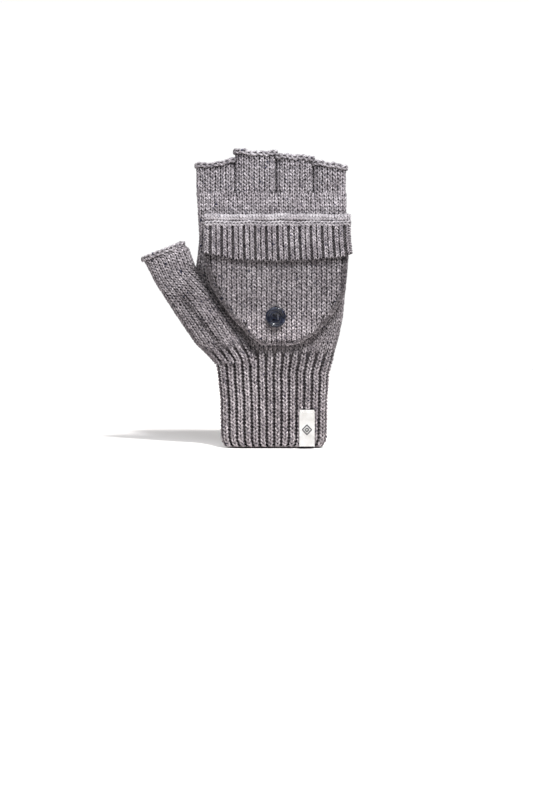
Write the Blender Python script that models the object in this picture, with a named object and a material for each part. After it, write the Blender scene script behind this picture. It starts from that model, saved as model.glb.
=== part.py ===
"""Convertible flip-top mitten: a fingerless knitted glove with a mitten flap buttoned back on the hand.

+Z points to the fingers, -Y is the back of the hand, +X is the little-finger side.
The origin is the centre of the wrist opening, at the cuff's lower edge. Units are metres.
"""

import math

import bmesh
import bpy

MM = 0.001

# Driving sizes of the glove.
CUFF_HEIGHT = 52 * MM
KNUCKLE_HEIGHT = 142 * MM
STUB_BASE_HEIGHT = 158.5 * MM
HAND_HALF_DEPTH = 8.5 * MM
STUB_HALF_DEPTH = 7.4 * MM
WALL = 2.2 * MM
GAP = 0.35 * MM
HEM_RADIUS = 1.7 * MM
SECTION_POWER = 3.2

# Silhouettes of the hand as (height, x) in millimetres, on the thumb side and on the little-finger side.
THUMB_SIDE = [(0, -33.0), (30, -33.6), (52, -35.9), (82, -42.4), (111, -49.0), (131, -46.9), (159, -48.6)]
LITTLE_SIDE = [(0, 33.0), (29, 33.5), (46, 34.5), (57, 37.4), (68, 40.8), (82, 43.6), (101, 45.2), (159, 45.5)]

# Thumb: its outer and inner edges as (x, z) in millimetres, from the hand to the open end.
THUMB_OUTER = [(-37.2, 53.0), (-49.4, 64.0), (-62.9, 84.0), (-75.0, 103.0), (-81.4, 115.4)]
THUMB_INNER = [(-49.9, 111.4), (-52.6, 119.0), (-55.8, 125.8)]
THUMB_HALF_DEPTH = 7.8 * MM
THUMB_ROOT = 12 * MM

# Finger stubs: name, left x, right x, and the height of the hem's top at its left, middle and right, in mm.
STUBS = [
    ("index", -48.6, -25.5, 177.0, 177.0, 180.0),
    ("middle", -23.3, 0.15, 186.0, 184.0, 184.5),
    ("ring", 2.35, 23.3, 183.0, 182.0, 181.4),
    ("little", 25.5, 45.0, 178.6, 177.0, 175.5),
]

# Flap: its two knitted layers hang from a seam across the knuckles. Outline as (x, z) in millimetres.
FLAP_THICKNESS = 2.0 * MM
FLAP_OUTLINE = [
    (-43.3, 140.4),
    (-43.0, 115.6),
    (-38.8, 100.6),
    (-26.3, 81.6),
    (-14.0, 69.4),
    (-3.3, 64.6),
    (13.0, 63.9),
    (26.6, 72.0),
    (36.0, 82.9),
    (43.6, 95.0),
    (45.2, 110.6),
    (46.8, 140.4),
]
SEAM_RADIUS = 0.95 * MM
BAND_THICKNESS = 2.2 * MM
BAND_OUTLINE = [
    (-43.5, 140.4),
    (-43.9, 120.4),
    (-24.0, 116.2),
    (0.0, 115.3),
    (24.0, 116.0),
    (44.0, 118.2),
    (48.9, 120.6),
    (48.9, 124.5),
    (47.2, 140.4),
]
ROLL_RADIUS = 2.2 * MM
ROLL_HEIGHT = 143.0 * MM

# Button: a dished disc with a raised rim.
BUTTON_X = 1.0 * MM
BUTTON_Z = 81.3 * MM
BUTTON_RADIUS = 6.4 * MM
BUTTON_RIM = 1.3 * MM
BUTTON_THICKNESS = 2.8 * MM
BUTTON_DISH = 1.1 * MM
BUTTON_HOLE_RADIUS = 0.62 * MM
BUTTON_HOLE_OFFSET = 1.38 * MM
SHANK_RADIUS = 1.1 * MM

# Buttonhole: an upright slit in the front layer, whose upper end shows above the button.
SLIT_HALF_WIDTH = 1.75 * MM
SLIT_LOW = 75.5 * MM
SLIT_HIGH = 88.4 * MM
EDGING_WIDTH = 1.1 * MM
EDGING_HEIGHT = 0.7 * MM

# Label tape.
LABEL_WIDTH = 9.6 * MM
LABEL_LENGTH = 23.0 * MM
LABEL_THICKNESS = 0.8 * MM
LABEL_X = 20.6 * MM

# Where each layer over the back of the hand lies, counted outwards from the hand (towards -Y).
BACK_LAYER_Y = -(HAND_HALF_DEPTH + GAP + FLAP_THICKNESS / 2)
HINGE_Y = BACK_LAYER_Y - 0.05 * MM
FRONT_LAYER_Y = BACK_LAYER_Y - FLAP_THICKNESS - GAP
BAND_Y = FRONT_LAYER_Y - FLAP_THICKNESS / 2 - GAP - BAND_THICKNESS / 2
ROLL_Y = BAND_Y + 1.25 * MM
EDGING_Y = FRONT_LAYER_Y - FLAP_THICKNESS / 2
BUTTON_BACK_Y = EDGING_Y - EDGING_HEIGHT - GAP


def clear_scene():
    """Removes what the startup scene holds."""
    for obj in list(bpy.data.objects):
        bpy.data.objects.remove(obj, do_unlink=True)


def material(name, colour, roughness, metallic=0.0):
    """A Principled material with one colour."""
    mat = bpy.data.materials.new(name)
    mat.use_nodes = True
    shader = mat.node_tree.nodes["Principled BSDF"]
    shader.inputs["Base Color"].default_value = (*colour, 1.0)
    shader.inputs["Roughness"].default_value = roughness
    shader.inputs["Metallic"].default_value = metallic
    return mat


def add_solid(name, points, faces, mat, origin=(0.0, 0.0, 0.0), smooth=True):
    """One closed body, with its object's origin at the given place."""
    mesh = bpy.data.meshes.new(name)
    shifted = [tuple(p[i] - origin[i] for i in range(3)) for p in points]
    mesh.from_pydata(shifted, [], faces)
    body = bmesh.new()
    body.from_mesh(mesh)
    bmesh.ops.recalc_face_normals(body, faces=body.faces)
    body.to_mesh(mesh)
    body.free()
    mesh.materials.append(mat)
    for face in mesh.polygons:
        face.use_smooth = smooth
    mesh.update()
    obj = bpy.data.objects.new(name, mesh)
    obj.location = origin
    bpy.context.scene.collection.objects.link(obj)
    return obj


def at_height(outline, height):
    """The x of a silhouette, given as (height, x) in millimetres, at a height in metres."""
    z = height / MM
    for (z0, x0), (z1, x1) in zip(outline, outline[1:]):
        if z <= z1:
            share = max(0.0, (z - z0) / (z1 - z0))
            return (x0 + (x1 - x0) * share) * MM
    return outline[-1][1] * MM


def along(path, share):
    """The point at a share (0 to 1) of the length of a path of (x, z) points in millimetres."""
    lengths = [math.dist(a, b) for a, b in zip(path, path[1:])]
    left = share * sum(lengths)
    for (a, b), length in zip(zip(path, path[1:]), lengths):
        if left <= length:
            t = left / length
            return ((a[0] + (b[0] - a[0]) * t) * MM, (a[1] + (b[1] - a[1]) * t) * MM)
        left -= length
    return (path[-1][0] * MM, path[-1][1] * MM)


def section(left, right, half_depth, count, inset=0.0, bow=0.0):
    """A flattened oval between two (x, z) points, drawn in towards its centre by inset.

    bow lowers the oval's middle along its own plane's z, as a hem that dips between its ends does.
    """
    cx, cz = (left[0] + right[0]) / 2, (left[1] + right[1]) / 2
    half = math.dist(left, right) / 2
    ux, uz = (right[0] - cx) / half, (right[1] - cz) / half
    a, b = half - inset, half_depth - inset
    ring = []
    for k in range(count):
        angle = 2 * math.pi * k / count
        c, s = math.cos(angle), math.sin(angle)
        across = a * math.copysign(abs(c) ** (2 / SECTION_POWER), c)
        y = b * math.copysign(abs(s) ** (2 / SECTION_POWER), s)
        dip = bow * (1 - (across / a) ** 2)
        ring.append((cx + ux * across, y, cz + uz * across - dip))
    return ring


def tube(name, rows, count, mat, wall=WALL):
    """An open-ended knitted tube. rows holds (left, right, half depth, bow) from its lower to its upper end."""
    outer = [section(l, r, d, count, 0.0, bow) for l, r, d, bow in rows]
    inner = [section(l, r, d, count, wall, bow) for l, r, d, bow in rows]
    points = [p for ring in outer + inner for p in ring]
    last = len(rows) - 1
    shift = len(rows) * count
    faces = []
    for k in range(count):
        n = (k + 1) % count
        for row in range(last):
            a, b = row * count, (row + 1) * count
            faces.append((a + k, b + k, b + n, a + n))
            faces.append((shift + a + n, shift + b + n, shift + b + k, shift + a + k))
        faces.append((k, n, shift + n, shift + k))
        top = last * count
        faces.append((top + n, top + k, shift + top + k, shift + top + n))
    return add_solid(name, points, faces, mat)


def ring_sweep(name, path, radius, mat, sides=8):
    """A closed roll of round section along a closed path, as a rolled hem is."""
    count = len(path)
    centre = [sum(p[i] for p in path) / count for i in range(3)]
    points = []
    for k in range(count):
        before, after = path[k - 1], path[(k + 1) % count]
        tangent = unit([after[i] - before[i] for i in range(3)])
        out = [path[k][i] - centre[i] for i in range(3)]
        along_tangent = dot(out, tangent)
        out = unit([out[i] - tangent[i] * along_tangent for i in range(3)])
        up = cross(tangent, out)
        for s in range(sides):
            angle = 2 * math.pi * s / sides
            c, d = radius * math.cos(angle), radius * math.sin(angle)
            points.append(tuple(path[k][i] + out[i] * c + up[i] * d for i in range(3)))
    faces = []
    for k in range(count):
        n = (k + 1) % count
        for s in range(sides):
            t = (s + 1) % sides
            faces.append((k * sides + s, k * sides + t, n * sides + t, n * sides + s))
    return add_solid(name, points, faces, mat)


def unit(v):
    """The vector at length 1."""
    length = math.sqrt(sum(x * x for x in v))
    return [x / length for x in v]


def dot(a, b):
    """The scalar product."""
    return sum(x * y for x, y in zip(a, b))


def cross(a, b):
    """The vector product."""
    return [a[1] * b[2] - a[2] * b[1], a[2] * b[0] - a[0] * b[2], a[0] * b[1] - a[1] * b[0]]


def slab(name, outline, y_mid, thickness, mat, origin):
    """A flat layer of cloth: an outline of (x, z) in metres, given thickness along Y."""
    count = len(outline)
    front, back = y_mid - thickness / 2, y_mid + thickness / 2
    points = [(x, front, z) for x, z in outline] + [(x, back, z) for x, z in outline]
    area = sum(a[0] * b[1] - b[0] * a[1] for a, b in zip(outline, outline[1:] + outline[:1]))
    order = list(range(count)) if area > 0 else list(range(count))[::-1]
    faces = [tuple(order), tuple(k + count for k in reversed(order))]
    for k, here in enumerate(order):
        there = order[(k + 1) % count]
        faces.append((here, here + count, there + count, there))
    return add_solid(name, points, faces, mat, origin, smooth=False)


def rod(name, start, end, radius, mat, origin, sides=12):
    """A straight round bar."""
    axis = unit([end[i] - start[i] for i in range(3)])
    side = unit(cross(axis, [0.3, 0.2, 1.0] if abs(axis[2]) < 0.9 else [1.0, 0.2, 0.3]))
    up = cross(axis, side)
    points = []
    for centre in (start, end):
        for s in range(sides):
            angle = 2 * math.pi * s / sides
            c, d = radius * math.cos(angle), radius * math.sin(angle)
            points.append(tuple(centre[i] + side[i] * c + up[i] * d for i in range(3)))
    faces = [tuple(reversed(range(sides))), tuple(range(sides, 2 * sides))]
    for s in range(sides):
        t = (s + 1) % sides
        faces.append((s, t, sides + t, sides + s))
    return add_solid(name, points, faces, mat, origin)


def lathe(name, profile, centre, mat, origin, steps=40):
    """Turns a profile of (radius, y) about the line through centre along Y. Its two ends lie on that line."""
    points = [(centre[0], profile[0][1], centre[1])]
    for radius, y in profile[1:-1]:
        for s in range(steps):
            angle = 2 * math.pi * s / steps
            points.append((centre[0] + radius * math.cos(angle), y, centre[1] + radius * math.sin(angle)))
    points.append((centre[0], profile[-1][1], centre[1]))
    last = len(points) - 1
    rings = len(profile) - 2
    faces = []
    for s in range(steps):
        t = (s + 1) % steps
        faces.append((0, 1 + s, 1 + t))
        for k in range(rings - 1):
            a, b = 1 + k * steps, 1 + (k + 1) * steps
            faces.append((a + s, b + s, b + t, a + t))
        end = 1 + (rings - 1) * steps
        faces.append((last, end + t, end + s))
    return add_solid(name, points, faces, mat, origin)


def cut(obj, cutter):
    """Takes a hidden cutter's shape out of an object."""
    cutter.hide_render = True
    cutter.display_type = "WIRE"
    modifier = obj.modifiers.new("cut_" + cutter.name, "BOOLEAN")
    modifier.operation = "DIFFERENCE"
    modifier.solver = "EXACT"
    modifier.object = cutter


def smoothed(outline, steps=3):
    """A closed outline of (x, z) in metres, rounded through its points. Its first and last points stay corners."""
    points = [(x * MM, z * MM) for x, z in outline]
    found = []
    for k in range(len(points) - 1):
        p0, p1, p2 = points[max(k - 1, 0)], points[k], points[k + 1]
        p3 = points[min(k + 2, len(points) - 1)]
        for s in range(steps):
            t = s / steps
            place = []
            for i in range(2):
                slope_in, slope_out = (p2[i] - p0[i]) / 2, (p3[i] - p1[i]) / 2
                a = 2 * p1[i] - 2 * p2[i] + slope_in + slope_out
                b = -3 * p1[i] + 3 * p2[i] - 2 * slope_in - slope_out
                place.append(a * t**3 + b * t**2 + slope_in * t + p1[i])
            found.append(tuple(place))
    return found + [points[-1]]


def make_cuff(mat):
    """The ribbed cuff, open at the wrist."""
    heights = [0.0, 0.25 * CUFF_HEIGHT, 0.56 * CUFF_HEIGHT, 0.85 * CUFF_HEIGHT, CUFF_HEIGHT - GAP / 2]
    tube("cuff_rib", [hand_row(z) for z in heights], 32, mat)


def hand_row(z):
    """The glove's section at a height: level, as wide as the hand, thinner towards the finger stubs."""
    taper = max(0.0, (z - KNUCKLE_HEIGHT - 3 * MM) / (STUB_BASE_HEIGHT - KNUCKLE_HEIGHT - 3 * MM))
    depth = HAND_HALF_DEPTH + (STUB_HALF_DEPTH - HAND_HALF_DEPTH) * taper
    return ((at_height(THUMB_SIDE, z), z), (at_height(LITTLE_SIDE, z), z), depth, 0.0)


def make_hand(mat):
    """The tube round the palm, with a long hole in its side that the thumb is knitted on to."""
    heights = [52, 57, 68, 82, 101, 111, 131, 145, 158.5]
    rows = [hand_row(z * MM + (GAP / 2 if z == 52 else 0.0)) for z in heights]
    hand = tube("hand_body", rows, 32, mat)
    cavity = [thumb_row(-1)] + [thumb_row(share) for share in (0.0, 0.3)]
    cut(hand, plug("thumb_hole_cutter", cavity, 32, mat, WALL + GAP))


def thumb_row(share):
    """The thumb's section at a share of its length, from the palm's side to the open end.

    A share of -1 is the section inside the palm, where the thumb starts.
    """
    if share == -1:
        low, high = along(THUMB_OUTER, 0), along(THUMB_INNER, 0)
        nx, nz = unit([high[1] - low[1], low[0] - high[0]])
        low = (low[0] + nx * THUMB_ROOT, low[1] + nz * THUMB_ROOT)
        high = (high[0] + nx * THUMB_ROOT, high[1] + nz * THUMB_ROOT)
        return (low, high, THUMB_HALF_DEPTH, 0.0)
    depth = THUMB_HALF_DEPTH + (STUB_HALF_DEPTH - THUMB_HALF_DEPTH) * share
    return (along(THUMB_OUTER, share), along(THUMB_INNER, share), depth, 0.0)


def make_thumb(mat, hem_mat):
    """The thumb gusset and tube, and its rolled hem."""
    rows = [thumb_row(-1)] + [thumb_row(k / 7) for k in range(8)]
    thumb = tube("thumb_tube", rows, 32, mat)
    heights = [40, 52, 57, 68, 82, 101, 111, 131]
    cut(thumb, plug("palm_cutter", [hand_row(z * MM) for z in heights], 32, mat, -GAP))
    left, right, depth, bow = thumb_row(1.0)
    nx, nz = unit([left[1] - right[1], right[0] - left[0]])
    lift = HEM_RADIUS + GAP
    left = (left[0] + nx * lift, left[1] + nz * lift)
    right = (right[0] + nx * lift, right[1] + nz * lift)
    path = section(left, right, STUB_HALF_DEPTH, 28, WALL / 4, bow)
    ring_sweep("thumb_hem", path, HEM_RADIUS, hem_mat)


def plug(name, rows, count, mat, inset):
    """A solid that fills a tube, inset from its outer surface. It is used as a cutter."""
    rings = [section(left, right, depth, count, inset, bow) for left, right, depth, bow in rows]
    points = [p for ring in rings for p in ring]
    last = (len(rows) - 1) * count
    faces = [tuple(range(count)), tuple(last + k for k in reversed(range(count)))]
    for k in range(count):
        n = (k + 1) % count
        for row in range(len(rows) - 1):
            a, b = row * count, (row + 1) * count
            faces.append((a + n, a + k, b + k, b + n))
    return add_solid(name, points, faces, mat)


def make_stub(name, left, right, tops, mat, hem_mat):
    """One finger tube and the rolled hem on its open end."""
    low_l, low_m, low_r = [t * MM - 2 * HEM_RADIUS - GAP for t in tops]
    bow = (low_l + low_r) / 2 - low_m
    base = STUB_BASE_HEIGHT + GAP
    rows = []
    for share in (0.0, 0.5, 1.0):
        z_left, z_right = base + (low_l - base) * share, base + (low_r - base) * share
        rows.append(((left * MM, z_left), (right * MM, z_right), STUB_HALF_DEPTH, bow * share))
    tube(name + "_stub", rows, 24, mat)
    lift = HEM_RADIUS + GAP
    path = section(
        (left * MM, low_l + lift), (right * MM, low_r + lift), STUB_HALF_DEPTH, 24, WALL / 2 - 0.2 * MM, bow
    )
    ring_sweep(name + "_hem", path, HEM_RADIUS * 0.97, hem_mat)


def make_seam(mat):
    """The seam across the knuckles that the flap is knitted on to, and turns about."""
    start = (-42.5 * MM, HINGE_Y, KNUCKLE_HEIGHT)
    end = (44.5 * MM, HINGE_Y, KNUCKLE_HEIGHT)
    rod("knuckle_seam", start, end, SEAM_RADIUS, mat, start)


def make_flap(mat, edge_mat):
    """The flap's two layers, its fold and its turned-down ribbing."""
    hinge = (0.0, HINGE_Y, KNUCKLE_HEIGHT)
    outline = smoothed(FLAP_OUTLINE)
    back = slab("flap_back_layer", outline, BACK_LAYER_Y, FLAP_THICKNESS, mat, hinge)
    profile = [(0.0, BACK_LAYER_Y - 3 * MM), (7.2 * MM, BACK_LAYER_Y - 3 * MM)]
    profile += [(7.2 * MM, BACK_LAYER_Y + 3 * MM), (0.0, BACK_LAYER_Y + 3 * MM)]
    cut(back, lathe("back_hole_cutter", profile, (BUTTON_X, BUTTON_Z), mat, hinge))
    front = slab("flap_front_layer", outline, FRONT_LAYER_Y, FLAP_THICKNESS, mat, hinge)
    slit = slit_outline(0.0)
    cut(front, slab("slit_cutter", slit, FRONT_LAYER_Y, 3 * FLAP_THICKNESS, mat, hinge))
    roll_start = (-43.3 * MM, ROLL_Y, ROLL_HEIGHT)
    roll_end = (47.4 * MM, ROLL_Y, ROLL_HEIGHT)
    fold = (0.0, ROLL_Y, ROLL_HEIGHT)
    rod("flap_fold_roll", roll_start, roll_end, ROLL_RADIUS, edge_mat, fold)
    slab("flap_rib_band", smoothed(BAND_OUTLINE), BAND_Y, BAND_THICKNESS, mat, fold)


def slit_outline(grow, count=20):
    """The buttonhole's outline: a narrow upright oval."""
    centre = (SLIT_LOW + SLIT_HIGH) / 2
    half = (SLIT_HIGH - SLIT_LOW) / 2 + grow
    found = []
    for k in range(count):
        angle = 2 * math.pi * k / count
        x = BUTTON_X + (SLIT_HALF_WIDTH + grow) * math.cos(angle)
        found.append((x, centre + half * math.sin(angle)))
    return found


def make_edging(mat):
    """The stitched ring round the buttonhole, on the flap's face."""
    inner, outer = slit_outline(0.15 * MM), slit_outline(EDGING_WIDTH)
    count = len(inner)
    back = EDGING_Y - 0.3 * MM
    front = back - EDGING_HEIGHT + 0.3 * MM
    points = [(x, back, z) for x, z in outer] + [(x, front, z) for x, z in outer]
    points += [(x, front, z) for x, z in inner] + [(x, back, z) for x, z in inner]
    faces = []
    for k in range(count):
        n = (k + 1) % count
        for band in range(4):
            a, b = band * count, (band + 1) % 4 * count
            faces.append((a + k, a + n, b + n, b + k))
    add_solid("buttonhole_edging", points, faces, mat, (0.0, HINGE_Y, KNUCKLE_HEIGHT))


def make_button(mat, thread_mat):
    """The button with its holes, the thread between them, and the shank behind it."""
    back = BUTTON_BACK_Y
    front = back - BUTTON_THICKNESS
    pivot = (BUTTON_X, back + 0.3 * MM, BUTTON_Z)
    rim = BUTTON_RADIUS - BUTTON_RIM
    profile = [
        (0.0, back),
        (BUTTON_RADIUS * 0.62, back),
        (BUTTON_RADIUS - 0.5 * MM, back - 0.45 * MM),
        (BUTTON_RADIUS, back - 1.2 * MM),
        (BUTTON_RADIUS, front + 0.6 * MM),
        (BUTTON_RADIUS - 0.5 * MM, front + 0.05 * MM),
        (rim + 0.35 * MM, front),
        (rim - 0.1 * MM, front + 0.35 * MM),
        (rim - 0.9 * MM, front + BUTTON_DISH * 0.8),
        (0.0, front + BUTTON_DISH),
    ]
    button = lathe("button", profile, (BUTTON_X, BUTTON_Z), mat, pivot)
    for i, sx in enumerate((-1, 1)):
        for k, sz in enumerate((-1, 1)):
            centre = (BUTTON_X + sx * BUTTON_HOLE_OFFSET, BUTTON_Z + sz * BUTTON_HOLE_OFFSET)
            start = (centre[0], back + 1 * MM, centre[1])
            end = (centre[0], front - 1 * MM, centre[1])
            cutter = rod(f"hole_cutter_{i}{k}", start, end, BUTTON_HOLE_RADIUS, mat, pivot, 14)
            cut(button, cutter)
    face = front + BUTTON_DISH - 0.3 * MM - 0.3 * MM
    reach = BUTTON_HOLE_OFFSET + 0.2 * MM
    start = (BUTTON_X + BUTTON_HOLE_OFFSET, face, BUTTON_Z - reach)
    end = (BUTTON_X + BUTTON_HOLE_OFFSET, face, BUTTON_Z + reach)
    rod("button_thread", start, end, 0.25 * MM, thread_mat, pivot, 8)
    shank_start = (BUTTON_X, -HAND_HALF_DEPTH - GAP, BUTTON_Z)
    shank_end = (BUTTON_X, back + 0.3 * MM, BUTTON_Z)
    rod("button_shank", shank_start, shank_end, SHANK_RADIUS, thread_mat, shank_start)


def make_label(mat, thread_mat):
    """The label tape, which lies on the cuff from its lower edge, and the stitches along its top."""
    left, right, depth, _ = hand_row(LABEL_LENGTH / 2)
    half = (right[0] - left[0]) / 2
    corners = []
    for x in (LABEL_X - LABEL_WIDTH / 2, LABEL_X + LABEL_WIDTH / 2):
        share = abs(x) / half
        corners.append((x, -depth * (1 - share**SECTION_POWER) ** (1 / SECTION_POWER)))
    (x0, y0), (x1, y1) = corners
    nx, ny = unit([y1 - y0, -(x1 - x0)])
    lift = 0.8 * MM
    points = []
    for z in (0.0, LABEL_LENGTH):
        for x, y, d in ((x0, y0, lift), (x1, y1, lift), (x1, y1, lift + LABEL_THICKNESS), (x0, y0, lift + LABEL_THICKNESS)):
            points.append((x + nx * d, y + ny * d, z + 0.3 * MM))
    faces = [(0, 1, 2, 3), (7, 6, 5, 4), (0, 4, 5, 1), (1, 5, 6, 2), (2, 6, 7, 3), (3, 7, 4, 0)]
    add_solid("label_tab", points, [tuple(reversed(f)) for f in faces], mat, smooth=False)
    d = lift + LABEL_THICKNESS + 0.3 * MM + 0.25 * MM
    z = LABEL_LENGTH - 1.6 * MM
    share = 0.1
    start = (x0 + (x1 - x0) * share + nx * d, y0 + (y1 - y0) * share + ny * d, z)
    end = (x1 - (x1 - x0) * share + nx * d, y1 - (y1 - y0) * share + ny * d, z)
    rod("label_stitches", start, end, 0.25 * MM, thread_mat, start, 8)


def main():
    """Builds every piece."""
    clear_scene()
    wool = material("wool_knit", (0.33, 0.33, 0.35), 0.92)
    hem_wool = material("wool_hem", (0.42, 0.42, 0.44), 0.92)
    horn = material("button_resin", (0.012, 0.014, 0.022), 0.18)
    dark_thread = material("dark_thread", (0.03, 0.03, 0.045), 0.8)
    tape = material("label_tape", (0.80, 0.77, 0.73), 0.75)
    white_thread = material("label_thread", (0.70, 0.68, 0.65), 0.8)
    make_cuff(wool)
    make_hand(wool)
    make_thumb(wool, hem_wool)
    for name, left, right, *tops in STUBS:
        make_stub(name, left, right, tops, wool, hem_wool)
    make_seam(wool)
    make_flap(wool, hem_wool)
    make_edging(hem_wool)
    make_button(horn, dark_thread)
    make_label(tape, white_thread)


main()
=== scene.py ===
"""Convertible flip-top mitten in heather wool: every knitted piece is built from its own looped yarn.

All sizes are in millimetres until a mesh is made, and the frame is in metres.
The object stands on its cuff: x runs across the palm, -y is the front, z is up.
"""

import math

import bpy
import numpy as np
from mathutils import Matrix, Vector


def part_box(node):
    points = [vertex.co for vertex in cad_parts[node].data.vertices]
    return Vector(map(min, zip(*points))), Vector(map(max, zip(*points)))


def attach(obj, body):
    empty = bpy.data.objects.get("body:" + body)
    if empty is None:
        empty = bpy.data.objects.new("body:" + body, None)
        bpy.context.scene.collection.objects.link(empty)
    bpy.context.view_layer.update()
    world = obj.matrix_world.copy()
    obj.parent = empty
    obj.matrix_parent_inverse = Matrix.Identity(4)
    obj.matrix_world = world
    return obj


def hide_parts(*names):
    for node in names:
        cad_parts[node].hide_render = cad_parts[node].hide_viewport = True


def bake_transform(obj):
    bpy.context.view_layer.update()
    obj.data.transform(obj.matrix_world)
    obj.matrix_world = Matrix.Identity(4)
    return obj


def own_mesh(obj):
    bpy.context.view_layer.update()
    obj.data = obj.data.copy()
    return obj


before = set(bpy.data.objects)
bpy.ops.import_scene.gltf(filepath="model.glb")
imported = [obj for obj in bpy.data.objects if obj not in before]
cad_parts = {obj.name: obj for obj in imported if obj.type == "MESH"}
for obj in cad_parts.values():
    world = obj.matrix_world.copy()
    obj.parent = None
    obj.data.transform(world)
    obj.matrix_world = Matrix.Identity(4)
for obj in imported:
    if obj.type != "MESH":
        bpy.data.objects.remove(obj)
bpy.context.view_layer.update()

MM = 0.001
TURN = 2 * math.pi
rng = np.random.default_rng(7)

# Driving sizes, the same ones the frame is built from.
TALL = 186
CUFF_HEIGHT = 52.0
STUB_BASE_HEIGHT = 158.5
HAND_HALF_DEPTH = 8.5
STUB_HALF_DEPTH = 7.4
SECTION_POWER = 3.2
HEM_RADIUS = 1.7
# Height and x of the hand's two sides.
THUMB_SIDE = [(0, -33.0), (30, -33.6), (52, -35.9), (82, -42.4), (111, -49.0), (131, -46.9), (159, -48.6)]
LITTLE_SIDE = [(0, 33.0), (29, 33.5), (46, 34.5), (57, 37.4), (68, 40.8), (82, 43.6), (101, 45.2),
               (159, 45.5)]
# The outer and the inner edge of the thumb and its half depth, from inside the palm to the hem.
THUMB_ROWS = [
    ((-35.0, 46.0), (-4.5, 50.0), 8.0),
    ((-36.9, 52.6), (-6.5, 59.0), 8.1),
    ((-42.5, 58.0), (-9.5, 66.5), 8.3),
    ((-49.4, 64.0), (-13.0, 74.0), 8.3),
    ((-62.9, 84.0), (-29.0, 97.0), 8.1),
    ((-75.0, 103.0), (-49.0, 112.8), 7.8),
    ((-79.8, 113.0), (-53.0, 124.2), 7.6),
    ((-81.4, 115.4), (-55.8, 125.8), 7.6),
]
# Height and x of the crease where the thumb gusset meets the palm, and of a lesser fold by the thumb's root.
CREASE = [(55.0, -11.0), (64.0, -15.0), (112.5, -49.4)]
FOLD = [(56.0, -28.0), (65.3, -36.0), (90.6, -55.6), (104.0, -66.0)]
# Name, left side, right side, and the hem's top at the left, middle and right.
STUBS = [
    ("index", -48.6, -25.5, 177.0, 177.0, 180.0),
    ("middle", -23.3, 0.15, 186.0, 184.0, 184.5),
    ("ring", 2.35, 23.3, 183.0, 182.0, 181.4),
    ("little", 25.5, 45.0, 178.6, 177.0, 175.5),
]
SLITS = (-24.4, 1.25, 24.4)
# Height and x of the flap's two sides.
FLAP_LEFT = [(64.6, -5.0), (65.4, -8.5), (69.4, -14.0), (81.6, -26.3), (100.6, -38.8), (115.6, -43.0),
             (140.4, -43.3)]
FLAP_RIGHT = [(64.6, 8.0), (65.4, 14.5), (72.0, 26.6), (82.9, 36.0), (95.0, 43.6), (110.6, 45.2),
              (140.4, 46.8)]
# y of the flap's two layers and of its band, and x and height of the band's free edge.
BACK_LAYER = -9.85
FRONT_LAYER = -12.2
BAND_LAYER = -14.65
BAND_TOP = 140.4
BAND_SIDES = (-43.7, 47.6)
BAND_EDGE = [(-43.9, 120.4), (-24.0, 116.2), (0.0, 115.3), (24.0, 116.0), (44.0, 118.2), (48.9, 120.6)]
# y, height and, for the roll, radius of the hinge and the roll.
HINGE = (-9.9, 142.0)
ROLL = (-13.4, 143.0, 2.2)
ROLL_SPAN = (-43.3, 47.4)
# x and height of the button; lower end, upper end and half width of the buttonhole.
BUTTON = (1.0, 81.3)
BUTTONHOLE = (75.5, 88.4, 1.75)
LABEL_X = 20.6
LABEL_WIDTH = 9.6

# A stitch's width and height, the yarn's radius, how far a loop stands out, and its depth inside the frame.
WALE = 3.1
COURSE = 2.2
YARN = 0.575
DEPTH = 0.6
INSET = 1.25
# Half thickness and inset of the painted-shade sheets inside the fabric.
SHADE_SHEET_HALF = 0.15
SHADE_SHEET_INSET = 0.5
CUFF_WALES = 60
PALM_WALES = 68
THUMB_WALES = 23


# ---------------------------------------------------------------- fabric surfaces

def between(table, at):
    """Linear value of a table of (position, value) pairs."""
    keys, values = zip(*table)
    return np.interp(at, keys, values)


def smooth(low, high, at):
    share = np.clip((np.asarray(at, float) - low) / (high - low), 0, 1)
    return share * share * (3 - 2 * share)


def unit(vectors):
    """The vectors scaled to a length of one."""
    return vectors / np.maximum(np.linalg.norm(vectors, axis=-1, keepdims=True), 1e-9)


def travelled(line):
    """The length along a line up to each of its points."""
    return np.concatenate([[0], np.cumsum(np.linalg.norm(np.diff(line, axis=0), axis=1))])


FRONTWARDS = np.array([[0.0, -1.0, 0.0]])
SIDEWAYS = np.array([[1.0, 0.0, 0.0]])


def points_at(x, y, z):
    """Points from their coordinates, each one number or one for every point."""
    return np.stack(np.broadcast_arrays(x, y, z), -1)


def spread(count, low=0.0, high=1.0):
    """The middles of count equal steps from low to high."""
    return low + (np.arange(count) + 0.5) * (high - low) / count


def section(half_width, half_depth, columns=256, power=SECTION_POWER):
    """Across and depth of a rounded flat section, evenly spaced, from the thumb side over the front."""
    angle = math.pi + np.linspace(0, TURN, 2048)
    cosine, sine = np.cos(angle), np.sin(angle)
    across = half_width * np.sign(cosine) * np.abs(cosine) ** (2 / power)
    depth = half_depth * np.sign(sine) * np.abs(sine) ** (2 / power)
    length = np.concatenate([[0], np.cumsum(np.hypot(np.diff(across), np.diff(depth)))])
    even = np.linspace(0, length[-1], columns, endpoint=False)
    return np.interp(even, length, across), np.interp(even, length, depth)


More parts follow.
